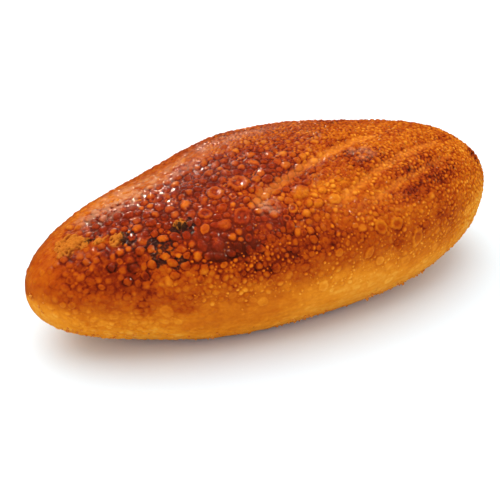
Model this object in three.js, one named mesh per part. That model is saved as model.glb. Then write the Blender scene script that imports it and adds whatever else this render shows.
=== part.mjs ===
// A long oval bread roll, baked as one piece, in millimetres with +Z up.
//
// The roll lies along X, with its narrow end at -X and its blunt end at +X, and rests on the small
// flat that the baking sheet left. The origin is the middle of the roll's footprint, at the height
// of that flat. The surface is one formula: the sides of a finely divided box are pushed out to
// the directions of a sphere, and each direction is turned into a point of the crust.

import * as THREE from 'three';
import { mergeVertices } from 'three/addons/utils/BufferGeometryUtils.js';

// Driving dimensions, at the middle of the roll's length.
const LENGTH = 162;
const WIDTH = 75;
const HEIGHT = 51.5;

// The roll is widest at this height. The crown rises from there, and the belly would reach this
// far below it if the baking sheet weren't there to leave the flat.
const WIDEST_LEVEL = 0.5 * HEIGHT;
const CROWN = HEIGHT - WIDEST_LEVEL;
const BELLY = 1.2 * WIDEST_LEVEL;

// The section goes over from crown to belly around the widest level, between these two sines of
// the angle about the long axis. The exponents say how square each half of it is: 2 is an ellipse.
const CROWN_SINE = 0.5;
const BELLY_SINE = -0.5;
const CROWN_SQUARENESS = 2.1;
const BELLY_SQUARENESS = 2.5;

// How full the ends are along the length, and how fast the height closes towards the tips.
const END_FULLNESS = 1.78;
const HEIGHT_CLOSING = 0.85;

// The +X end is wider and higher than the -X end, both tips lean a little towards -Y, and their
// widest level is a little lower than at the middle.
const WIDTH_TAPER = 0.115;
const HEIGHT_TAPER = 0.1;
const LEAN = 3.2;
const TIP_DROOP = 0.04;

// Half the height over which the belly rounds into the flat.
const FLAT_EDGE = 1.2;

// Folds pressed into the crown while it proved. Each runs along X from one place to another, and
// turns about the roll's long axis from one angle to another: 90 degrees is the top of the crown
// and 180 degrees is the widest level on the -Y side.
const FOLDS = [
  { fromX: -10, toX: 38, fromAngle: 132, toAngle: 95, depth: 1.2, width: 4.0 },
  { fromX: 16, toX: 60, fromAngle: 145, toAngle: 113, depth: 1.0, width: 3.4 },
  { fromX: 26, toX: 62, fromAngle: 150, toAngle: 133, depth: 0.7, width: 3.0 },
];

// Broad places where the roll stands out from the plain form, or falls short of it where the height
// is negative. Each is an oval, with its middle at a place along X and an angle about the long axis.
const SWELLS = [
  { x: -36, angle: 50, halfLength: 16, halfGirth: 20, height: -2.2 },
  { x: -5, angle: 50, halfLength: 11, halfGirth: 18, height: 0.9 },
  { x: 44, angle: 52, halfLength: 20, halfGirth: 20, height: -2.3 },
  { x: -54, angle: 214, halfLength: 15, halfGirth: 12, height: -2.0 },
  { x: 4, angle: 214, halfLength: 20, halfGirth: 12, height: -1.1 },
  { x: 48, angle: 214, halfLength: 14, halfGirth: 12, height: 0.7 },
];

// Divisions of the box along X, Y and Z.
const DIVISIONS = [32, 20, 16];

/** Raise the size of a value to a power and keep its sign. */
function signedPower(value, exponent) {
  return Math.sign(value) * Math.abs(value) ** exponent;
}

/** The share of a fold's full depth at a point, from 0 away from it to 1 on its line. */
function foldShare(fold, x, angle, reach) {
  const progress = (x - fold.fromX) / (fold.toX - fold.fromX);
  const inside = THREE.MathUtils.clamp(progress, 0, 1);
  const lineAngle = THREE.MathUtils.lerp(fold.fromAngle, fold.toAngle, inside);
  const girth = THREE.MathUtils.degToRad(angle - lineAngle) * reach * WIDTH / 2;
  const along = (progress - inside) * (fold.toX - fold.fromX);
  return Math.exp(-((girth / fold.width) ** 2) - (along / fold.width) ** 2);
}

/** The share of a swell's full height at a point, from 0 away from it to 1 at its middle. */
function swellShare(swell, x, angle, reach) {
  const turn = THREE.MathUtils.euclideanModulo(angle - swell.angle + 180, 360) - 180;
  const girth = THREE.MathUtils.degToRad(turn) * reach * WIDTH / 2;
  return Math.exp(-((girth / swell.halfGirth) ** 2) - ((x - swell.x) / swell.halfLength) ** 2);
}

/** The distance of the crust from the long axis of the middle section, at a side and a lift. */
function sectionRadius(side, lift) {
  const belly = THREE.MathUtils.smoothstep(-lift, -CROWN_SINE, -BELLY_SINE);
  const rise = THREE.MathUtils.lerp(CROWN, BELLY, belly);
  const squareness = THREE.MathUtils.lerp(CROWN_SQUARENESS, BELLY_SQUARENESS, belly);
  const sideTerm = Math.abs(2 * side / WIDTH) ** squareness;
  const liftTerm = Math.abs(lift / rise) ** squareness;
  return (sideTerm + liftTerm) ** (-1 / squareness);
}

/** Cut a height off at 0, with a rounded edge. */
function restOnFlat(height) {
  if (height > FLAT_EDGE) {
    return height;
  }
  return Math.max(height + FLAT_EDGE, 0) ** 2 / (4 * FLAT_EDGE);
}

/** The point of the crust in a direction seen from the middle of the roll. */
function crustPoint(direction) {
  const along = signedPower(direction.x, 2 / END_FULLNESS);
  const reach = Math.hypot(direction.y, direction.z);
  const side = reach > 0 ? direction.y / reach : 1;
  const lift = reach > 0 ? direction.z / reach : 0;
  const angle = THREE.MathUtils.radToDeg(Math.atan2(lift, side));

  let radius = sectionRadius(side, lift);
  for (const fold of FOLDS) {
    radius -= fold.depth * foldShare(fold, along * LENGTH / 2, angle, reach);
  }
  for (const swell of SWELLS) {
    radius += swell.height * swellShare(swell, along * LENGTH / 2, angle, reach);
  }
  const across = radius * side * reach;
  const level = WIDEST_LEVEL * (1 - TIP_DROOP * along ** 2);
  const height = restOnFlat(level + radius * lift * reach ** HEIGHT_CLOSING);
  return new THREE.Vector3(
    along * LENGTH / 2,
    across * (1 + WIDTH_TAPER * along) - LEAN * along ** 2,
    height * (1 + HEIGHT_TAPER * along),
  );
}

/** The direction of a point on the box, spread so that the divisions come out even. */
function evenDirection(corner) {
  return new THREE.Vector3(
    Math.tan(corner.x * Math.PI / 4),
    Math.tan(corner.y * Math.PI / 4),
    Math.tan(corner.z * Math.PI / 4),
  ).normalize();
}

/** The whole roll as one closed surface, with its footprint centred on the origin. */
function rollGeometry() {
  const box = new THREE.BoxGeometry(2, 2, 2, ...DIVISIONS);
  box.deleteAttribute('normal');
  box.deleteAttribute('uv');
  const geometry = mergeVertices(box);
  const position = geometry.attributes.position;
  const corner = new THREE.Vector3();
  for (let index = 0; index < position.count; index += 1) {
    corner.fromBufferAttribute(position, index);
    const point = crustPoint(evenDirection(corner));
    position.setXYZ(index, point.x, point.y, point.z);
  }
  geometry.computeBoundingBox();
  const middle = geometry.boundingBox.getCenter(new THREE.Vector3());
  geometry.translate(-middle.x, -middle.y, 0);
  geometry.computeVertexNormals();
  return geometry;
}

const crust = new THREE.MeshStandardMaterial({
  color: new THREE.Color(0.72, 0.34, 0.09),
  roughness: 0.42,
  metalness: 0,
});

const roll = new THREE.Mesh(rollGeometry(), crust);
roll.name = 'bread_roll';

const model = new THREE.Group();
model.add(roll);

export default model;
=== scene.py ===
"""A bread roll with a glossy, blistered crust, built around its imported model.

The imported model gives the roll's size. The crust is a fine mesh of the same form, raised into
blisters, folds and flakes by the classes below, and painted by one procedural material that reads
the baking stored on the mesh. The roll's lengths are in millimetres until a mesh is written in
metres. The studio's are in metres.

A place on the crust is given by x, along the roll from its middle, and by an angle about the
roll's long axis: 90 degrees is the top of the crown, 180 the widest level on the near side, at -Y,
and 0 the widest level on the far side. The belly runs on from 180 to 270 and from 0 to -90.
"""

import logging
import math
from dataclasses import dataclass
from enum import Enum
from itertools import product

import bpy
import numpy as np
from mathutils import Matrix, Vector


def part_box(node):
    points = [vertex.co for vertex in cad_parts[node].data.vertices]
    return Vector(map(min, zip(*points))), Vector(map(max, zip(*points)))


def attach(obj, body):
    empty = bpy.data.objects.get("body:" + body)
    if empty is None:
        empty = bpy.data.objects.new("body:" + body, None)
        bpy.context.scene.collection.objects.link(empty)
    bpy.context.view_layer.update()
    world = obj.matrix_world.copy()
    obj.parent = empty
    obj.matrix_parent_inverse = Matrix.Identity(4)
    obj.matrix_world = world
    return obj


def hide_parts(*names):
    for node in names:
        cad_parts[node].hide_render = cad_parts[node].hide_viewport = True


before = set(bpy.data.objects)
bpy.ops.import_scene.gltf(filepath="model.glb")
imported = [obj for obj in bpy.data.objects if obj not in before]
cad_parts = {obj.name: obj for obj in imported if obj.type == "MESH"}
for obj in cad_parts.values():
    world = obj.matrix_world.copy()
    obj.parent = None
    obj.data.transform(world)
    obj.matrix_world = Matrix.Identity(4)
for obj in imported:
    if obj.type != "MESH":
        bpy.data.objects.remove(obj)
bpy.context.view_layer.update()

NODE = "bread_roll"
BODY = "root"
MM = 0.001
FULL_TURN = 360.0

log = logging.getLogger("bread_roll")

Colour = tuple[float, float, float]


# ---------------------------------------------------------------------------------------------
# Small mathematics
# ---------------------------------------------------------------------------------------------


def lerp(start: np.ndarray | float, end: np.ndarray | float, share: np.ndarray | float) -> np.ndarray:
    """Go a share of the way from start to end."""
    return start + (end - start) * share


def smooth_step(low: float, high: float, value: np.ndarray) -> np.ndarray:
    """Rise smoothly from 0 at low to 1 at high."""
    share = np.clip((value - low) / (high - low), 0.0, 1.0)
    return share * share * (3.0 - 2.0 * share)


def signed_power(value: np.ndarray, exponent: float) -> np.ndarray:
    """Raise the size of each value to a power and keep its sign."""
    return np.sign(value) * np.abs(value) ** exponent


class DoughNoise:
    """Smooth seeded noise in space, from about -1 to 1."""

    TABLE_SIZE = 256
    GAIN = 1.7
    LAYER_SHIFT = 31.7

    def __init__(self, seed: int) -> None:
        """Draw the lattice slopes.

        Args:
            seed: number that settles the pattern.
        """
        draw = np.random.default_rng(seed)
        order = draw.permutation(self.TABLE_SIZE)
        self._order = np.concatenate([order, order])
        slopes = draw.normal(size=(self.TABLE_SIZE, 3))
        self._slopes = slopes / np.linalg.norm(slopes, axis=1, keepdims=True)

    def at(self, places: np.ndarray, cell: float) -> np.ndarray:
        """Read the noise.

        Args:
            places: points in millimetres, one row each.
            cell: size of the noise's lumps in millimetres.

        Returns:
            One value for each point.
        """
        scaled = places / cell
        floor = np.floor(scaled).astype(np.int64)
        part = scaled - floor
        fade = part ** 3 * (part * (part * 6.0 - 15.0) + 10.0)
        wrap = self.TABLE_SIZE - 1
        total = np.zeros(len(places))
        for corner in product((0, 1), repeat=3):
            step = np.array(corner)
            ix, iy, iz = ((floor + step) & wrap).T
            slope = self._slopes[self._order[self._order[self._order[ix] + iy] + iz]]
            weight = np.where(step, fade, 1.0 - fade).prod(axis=1)
            total += weight * np.einsum("ij,ij->i", slope, part - step)
        return total * self.GAIN

    def layered(self, places: np.ndarray, cell: float, layers: int) -> np.ndarray:
        """Add finer and fainter layers of the noise.

        Args:
            places: points in millimetres, one row each.
            cell: size of the coarsest lumps in millimetres.
            layers: number of layers, each half as coarse and half as strong as the one before.

        Returns:
            One value for each point, from about -1 to 1.
        """
        total = np.zeros(len(places))
        for layer in range(layers):
            total += self.at(places + self.LAYER_SHIFT * layer, cell / 2 ** layer) / 2 ** layer
        return total / (2.0 - 2.0 ** (1 - layers))


class NoiseShift(Enum):
    """How many millimetres each use of the noise is moved by, so that no two are alike."""

    MOOD = 50.0
    FRAY = 70.0
    GATHERING = 90.0
    FINE = 140.0
    STREAK = 210.0
    SHARDS = 300.0
    BEND = 350.0
    CHIPS = 380.0
    BLOTCHES = 400.0


# ---------------------------------------------------------------------------------------------
# The roll's form
# ---------------------------------------------------------------------------------------------


@dataclass(frozen=True)
class Fold:
    """A fold pressed into the crown, from one place on the crust to another."""

    from_x: float
    to_x: float
    from_angle: float
    to_angle: float
    depth: float
    width: float
    smoothness: float

    def share(self, x: np.ndarray, angle: np.ndarray, arm: np.ndarray) -> np.ndarray:
        """Find how much of the fold's depth each place has.

        Args:
            x: places along the roll.
            angle: their angles about the long axis, in degrees.
            arm: their distances from the long axis.

        Returns:
            A share from 0, away from the fold, to 1, on its line.
        """
        progress = (x - self.from_x) / (self.to_x - self.from_x)
        inside = np.clip(progress, 0.0, 1.0)
        girth = np.radians(angle - lerp(self.from_angle, self.to_angle, inside)) * arm
        along = (progress - inside) * (self.to_x - self.from_x)
        return np.exp(-((girth / self.width) ** 2) - (along / self.width) ** 2)


@dataclass(frozen=True)
class Swell:
    """A broad place where the roll stands out from the plain form, or falls short of it."""

    x: float
    angle: float
    half_length: float
    half_girth: float
    height: float

    def share(self, x: np.ndarray, angle: np.ndarray, arm: np.ndarray) -> np.ndarray:
        """Find how much of the swell's height each place has.

        Args:
            x: places along the roll.
            angle: their angles about the long axis, in degrees.
            arm: their distances from the long axis.

        Returns:
            A share from 0, away from the swell, to 1, at its middle.
        """
        turn = np.mod(angle - self.angle + FULL_TURN / 2.0, FULL_TURN) - FULL_TURN / 2.0
        girth = np.radians(turn) * arm
        return np.exp(-((girth / self.half_girth) ** 2) - ((x - self.x) / self.half_length) ** 2)


@dataclass(frozen=True)
class RollForm:
    """The smooth form of the roll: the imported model's formula, stretched to its box."""

    low: np.ndarray
    high: np.ndarray
    folds: tuple[Fold, ...]
    swells: tuple[Swell, ...]
    widest_share: float = 0.5
    belly_share: float = 1.2
    crown_sine: float = 0.5
    crown_squareness: float = 2.1
    belly_squareness: float = 2.5
    end_fullness: float = 1.78
    height_closing: float = 0.85
    width_taper: float = 0.115
    height_taper: float = 0.1
    lean: float = 3.2
    tip_droop: float = 0.04
    flat_edge: float = 1.2
    axis_gap: float = 1e-9

    @property
    def size(self) -> np.ndarray:
        """The length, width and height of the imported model."""
        return self.high - self.low

    def _section_radius(self, side: np.ndarray, lift: np.ndarray) -> np.ndarray:
        """The distance of the crust from the long axis at mid-length, at a side and a lift."""
        widest = self.widest_share * self.size[2]
        belly = smooth_step(-self.crown_sine, self.crown_sine, -lift)
        rise = lerp(self.size[2] - widest, self.belly_share * widest, belly)
        squareness = lerp(self.crown_squareness, self.belly_squareness, belly)
        side_term = np.abs(2.0 * side / self.size[1]) ** squareness
        return (side_term + np.abs(lift / rise) ** squareness) ** (-1.0 / squareness)

    def _rest_on_flat(self, height: np.ndarray) -> np.ndarray:
        """Cut heights off at 0, with a rounded edge."""
        rounded = np.maximum(height + self.flat_edge, 0.0) ** 2 / (4.0 * self.flat_edge)
        return np.where(height > self.flat_edge, height, rounded)

    def shape(self, direction: np.ndarray) -> "Crust":
        """Turn directions seen from the middle of the roll into the crust.

        Args:
            direction: unit vectors, one row each.

        Returns:
            The crust, with the folds pressed in.
        """
        along = signed_power(direction[:, 0], 2.0 / self.end_fullness)
        reach = np.hypot(direction[:, 1], direction[:, 2])
        off_axis = reach > self.axis_gap
        side = np.divide(direction[:, 1], reach, out=np.zeros_like(reach), where=off_axis)
        lift = np.divide(direction[:, 2], reach, out=np.ones_like(reach), where=off_axis)
        angle = np.degrees(np.arctan2(lift, side))
        angle = np.where(angle < -90.0, angle + FULL_TURN, angle)
        x = along * self.size[0] / 2.0

        radius = self._section_radius(side, lift)
        pressed = np.zeros(len(direction))
        for fold in self.folds:
            share = fold.share(x, angle, reach * self.size[1] / 2.0)
            radius = radius - fold.depth * share
            pressed = np.maximum(pressed, share * fold.smoothness)
        for swell in self.swells:
            radius = radius + swell.height * swell.share(x, angle, reach * self.size[1] / 2.0)
        level = self.widest_share * self.size[2] * (1.0 - self.tip_droop * along ** 2)
        raw = level + radius * lift * reach ** self.height_closing
        across = radius * side * reach * (1.0 + self.width_taper * along)
        height = self._rest_on_flat(raw) * (1.0 + self.height_taper * along)
        place = np.stack([x, across - self.lean * along ** 2, height], axis=1)
        return Crust(self._into_box(place), x, angle, raw < -self.flat_edge, pressed)

    def _into_box(self, place: np.ndarray) -> np.ndarray:
        """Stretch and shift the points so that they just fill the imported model's box."""
        low, high = place.min(axis=0), place.max(axis=0)
        return self.low + (place - low) / (high - low) * self.size


@dataclass
class Crust:
    """The crust's points, and what is known at each of them."""

    place: np.ndarray
    x: np.ndarray
    angle: np.ndarray
    flat: np.ndarray
    pressed: np.ndarray

    def nearest(self, x: float, angle: float) -> np.ndarray:
        """Find the point of the crust that lies closest to a place given by x and an angle."""
        middle = self.place[:, 2].max() / 2.0
        turn = math.radians(angle)
        gap = np.abs(self.x - x) + np.abs(np.radians(self.angle) - turn) * middle
        return self.place[np.argmin(gap)]


@dataclass(frozen=True)
class BoxLattice:
    """A box divided into quads, whose points are pushed out into the crust."""

    along: int = 430
    across: int = 216
    upright: int = 190
    crowding: float = 0.15

    def quads(self) -> tuple[np.ndarray, np.ndarray]:
        """Divide the box.

        Returns:
            The lattice points from -1 to 1, and the corners of each quad, facing outward.
        """
        counts = np.array([self.along, self.across, self.upright])
        sides = []
        for axis in range(3):
            first, second = (axis + 1) % 3, (axis + 2) % 3
            for end in (0, counts[axis]):
                grid = np.meshgrid(np.arange(counts[first]), np.arange(counts[second]), indexing="ij")
                corners = np.zeros((grid[0].size, 4, 3), dtype=np.int64)
                loop = ((0, 0), (1, 0), (1, 1), (0, 1))
                for slot, (du, dv) in enumerate(loop if end else loop[::-1]):
                    corners[:, slot, axis] = end
                    corners[:, slot, first] = grid[0].ravel() + du
                    corners[:, slot, second] = grid[1].ravel() + dv
                sides.append(corners)
        lattice = np.concatenate(sides)
        stride = counts + 1
        key = (lattice[..., 0] * stride[1] + lattice[..., 1]) * stride[2] + lattice[..., 2]
        unique, index = np.unique(key.ravel(), return_inverse=True)
        slab = stride[1] * stride[2]
        steps = np.stack([unique // slab, unique // stride[2] % stride[1], unique % stride[2]], axis=1)
        return 2.0 * steps / counts - 1.0, index.reshape(-1, 4)

    def directions(self, points: np.ndarray) -> np.ndarray:
        """Turn the lattice points into unit vectors, closest together on the crown's near side.

        Args:
            points: lattice points from -1 to 1.

        Returns:
            One unit vector for each point.
        """
        shift = self.crowding * (1.0 - points ** 2) * np.array([0.0, -1.0, 1.0])
        spread = np.tan((points + shift) * math.pi / 4.0)
        return spread / np.linalg.norm(spread, axis=1, keepdims=True)


class Surface:
    """The quads between the crust's points: their normals, neighbours and areas."""

    LEAST_LENGTH = 1e-12

    def __init__(self, place: np.ndarray, quads: np.ndarray) -> None:
        """Keep the quads and find their edges.

        Args:
            place: the points, in millimetres.
            quads: the corners of each quad.
        """
        self.quads = quads
        pairs = np.concatenate([quads[:, [k, (k + 1) % 4]] for k in range(4)])
        pairs = pairs[pairs[:, 0] < pairs[:, 1]]
        self._edges = pairs
        self._count = len(place)
        self._degree = np.bincount(pairs.ravel(), minlength=self._count)
        diagonals = place[quads[:, 2:]] - place[quads[:, :2]]
        cross = np.cross(diagonals[:, 0], diagonals[:, 1])
        self.normal = self._normals(cross)
        self.area = self._areas(cross)

    def _normals(self, cross: np.ndarray) -> np.ndarray:
        """The normal at each point, from the cross products of its quads' diagonals."""
        total = np.zeros((self._count, 3))
        for axis, slot in product(range(3), range(4)):
            total[:, axis] += np.bincount(self.quads[:, slot], cross[:, axis], self._count)
        return total / np.maximum(np.linalg.norm(total, axis=1, keepdims=True), self.LEAST_LENGTH)

    def _areas(self, cross: np.ndarray) -> np.ndarray:
        """The area that each point stands for: a quarter of each quad around it."""
        quarter = np.linalg.norm(cross, axis=1) / 8.0
        return sum(np.bincount(self.quads[:, slot], quarter, self._count) for slot in range(4))

    def smoothed(self, value: np.ndarray, rounds: int) -> np.ndarray:
        """Average a value over each point's neighbours, some rounds in a row."""
        first, second = self._edges.T
        for _ in range(rounds):
            total = np.bincount(first, value[second], self._count)
            total += np.bincount(second, value[first], self._count)
            value = 0.5 * value + 0.5 * total / self._degree
        return value


# ---------------------------------------------------------------------------------------------
# Blisters
# ---------------------------------------------------------------------------------------------


class BlisterShape(Enum):
    """How a blister stands on the crust."""

    DOME = "dome"
    BUTTON = "button"
    CRATER = "crater"


@dataclass(frozen=True)
class BlisterStyle:
    """The blisters that one kind of crust carries.

    Diameters are in millimetres and lean towards the smallest as the skew grows. The slope is the
    angle at which a blister meets the crust. The gap is the least room between two blisters, as a
    share of the smaller one's radius: below 0 they overlap. The tone runs from -1, darker than the
    crust around, to 1, paler. Clusters gather the blisters: 0 spreads them evenly. The cover sets
    how many are tried. Buttons and craters are shares of the larger ones, and the pebbles say how
    strongly the finest pebbling shows.
    """

    smallest: float
    largest: float
    skew: float
    slope: float
    cover: float
    gap: float
    dark: float
    pale: float
    buttons: float = 0.0
    craters: float = 0.0
    clusters: float = 0.0
    pebbles: float = 0.2


@dataclass(frozen=True)
class CrustZone:
    """A stretch of crust with one style of blister, as an oval about a place."""

    x: float
    angle: float
    half_length: float
    half_girth: float
    style: BlisterStyle


PACKED = BlisterStyle(0.6, 3.2, 2.4, 60.0, 1.9, -0.38, -1.0, 0.60, craters=0.04, pebbles=0.6)
AMBER = BlisterStyle(0.6, 3.2, 2.3, 60.0, 1.9, -0.34, -0.9, 0.72, craters=0.04, pebbles=0.6)
PEBBLED = BlisterStyle(0.6, 1.6, 1.6, 62.0, 2.0, -0.30, -0.5, 0.75, craters=0.02, pebbles=1.0)
BEADS = BlisterStyle(0.6, 1.4, 1.8, 66.0, 1.5, -0.04, 0.2, 1.15, clusters=0.6, pebbles=0.35)
DISCS = BlisterStyle(1.4, 3.0, 1.6, 34.0, 0.42, 0.06, -0.3, 0.6, buttons=0.4, craters=0.03, clusters=0.3)
FLATTENED = BlisterStyle(0.8, 2.8, 1.6, 27.0, 1.7, -0.30, -0.25, 0.42, buttons=0.2, craters=0.02)
LOOSE = BlisterStyle(0.6, 2.2, 2.2, 54.0, 1.5, -0.18, -0.5, 0.62, craters=0.03, clusters=0.4, pebbles=0.5)
FAINT = BlisterStyle(1.0, 4.0, 1.6, 8.0, 0.9, 0.05, -0.1, 0.38, buttons=0.6, clusters=0.5, pebbles=0.05)
SPARSE = BlisterStyle(0.6, 1.2, 1.8, 30.0, 0.30, 0.6, -0.2, 0.4, clusters=0.5, pebbles=0.35)

ZONES = (
    CrustZone(-26.0, 119.0, 32.0, 15.0, PACKED),
    CrustZone(-54.0, 94.0, 14.0, 6.0, PACKED),
    CrustZone(-26.0, 140.0, 24.0, 11.0, AMBER),
    CrustZone(4.0, 105.0, 20.0, 10.0, PACKED),
    CrustZone(-2.0, 136.0, 13.0, 10.0, AMBER),
    CrustZone(14.0, 140.0, 18.0, 11.0, LOOSE),
    CrustZone(28.0, 90.0, 24.0, 14.0, PEBBLED),
    CrustZone(38.0, 118.0, 30.0, 20.0, PEBBLED),
    CrustZone(50.0, 142.0, 22.0, 14.0, PEBBLED),
    CrustZone(68.0, 112.0, 12.0, 24.0, PEBBLED),
    CrustZone(6.0, 156.0, 32.0, 13.0, BEADS),
    CrustZone(10.0, 166.0, 38.0, 14.0, DISCS),
    CrustZone(-24.0, 164.0, 18.0, 9.0, BEADS),
    CrustZone(-28.0, 160.0, 22.0, 12.0, LOOSE),
    CrustZone(6.0, 156.0, 30.0, 12.0, LOOSE),
    CrustZone(44.0, 170.0, 26.0, 12.0, BEADS),
    CrustZone(42.0, 172.0, 26.0, 12.0, DISCS),
    CrustZone(-54.0, 158.0, 17.0, 20.0, FLATTENED),
    CrustZone(-56.0, 183.0, 18.0, 9.0, FLATTENED),
    CrustZone(0.0, 202.0, 58.0, 13.0, FAINT),
    CrustZone(-42.0, 70.0, 34.0, 14.0, SPARSE),
    CrustZone(20.0, 50.0, 32.0, 16.0, PEBBLED),
    CrustZone(20.0, 24.0, 34.0, 14.0, DISCS),
    CrustZone(20.0, 28.0, 34.0, 16.0, BEADS),
    CrustZone(-35.0, 28.0, 30.0, 14.0, FLATTENED),
    CrustZone(50.0, 48.0, 18.0, 22.0, LOOSE),
    CrustZone(0.0, -14.0, 58.0, 12.0, FAINT),
)


@dataclass(frozen=True)
class Blister:
    """One blister: where it is, how wide it is, and how it looks."""

    x: float
    angle: float
    diameter: float
    shape: BlisterShape
    slope: float
    tone: float


FEATURED = (
    Blister(-13, 115, 8.0, BlisterShape.CRATER, 50.0, 0.2),
    Blister(-21, 117, 6.0, BlisterShape.CRATER, 46.0, 0.2),
    Blister(-31, 118, 4.5, BlisterShape.DOME, 54.0, 0.8),
    Blister(-27, 130, 5.0, BlisterShape.CRATER, 46.0, 0.5),
    Blister(-17, 139, 6.0, BlisterShape.CRATER, 48.0, 0.4),
    Blister(-23, 141, 4.5, BlisterShape.DOME, 52.0, 0.4),
    Blister(-29, 140, 4.0, BlisterShape.BUTTON, 36.0, 0.6),
    Blister(-27, 151, 4.5, BlisterShape.DOME, 54.0, 0.1),
    Blister(-22, 149, 3.0, BlisterShape.DOME, 56.0, 0.8),
    Blister(-35, 132, 3.5, BlisterShape.CRATER, 46.0, 0.9),
    Blister(-38, 110, 4.5, BlisterShape.DOME, 50.0, -0.2),
    Blister(-47, 122, 4.0, BlisterShape.DOME, 48.0, 0.6),
    Blister(3, 135, 6.5, BlisterShape.DOME, 38.0, 0.1),
    Blister(25, 164, 4.5, BlisterShape.CRATER, 44.0, 0.5),
    Blister(31, 165, 5.5, BlisterShape.CRATER, 44.0, 0.5),
    Blister(39, 177, 5.0, BlisterShape.CRATER, 44.0, 0.7),
    Blister(20, 175, 4.5, BlisterShape.BUTTON, 36.0, 0.4),
    Blister(24, 182, 4.0, BlisterShape.BUTTON, 36.0, 0.5),
    Blister(13, 144, 4.0, BlisterShape.BUTTON, 42.0, 0.4),
    Blister(-14, 176, 2.5, BlisterShape.CRATER, 44.0, 0.7),
    Blister(-45, 184, 4.5, BlisterShape.BUTTON, 14.0, 0.35),
    Blister(-60, 185, 4.0, BlisterShape.BUTTON, 14.0, 0.3),
    Blister(-16, 187, 4.0, BlisterShape.BUTTON, 14.0, 0.35),
    Blister(4, 186, 4.0, BlisterShape.BUTTON, 14.0, 0.35),
)


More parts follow.
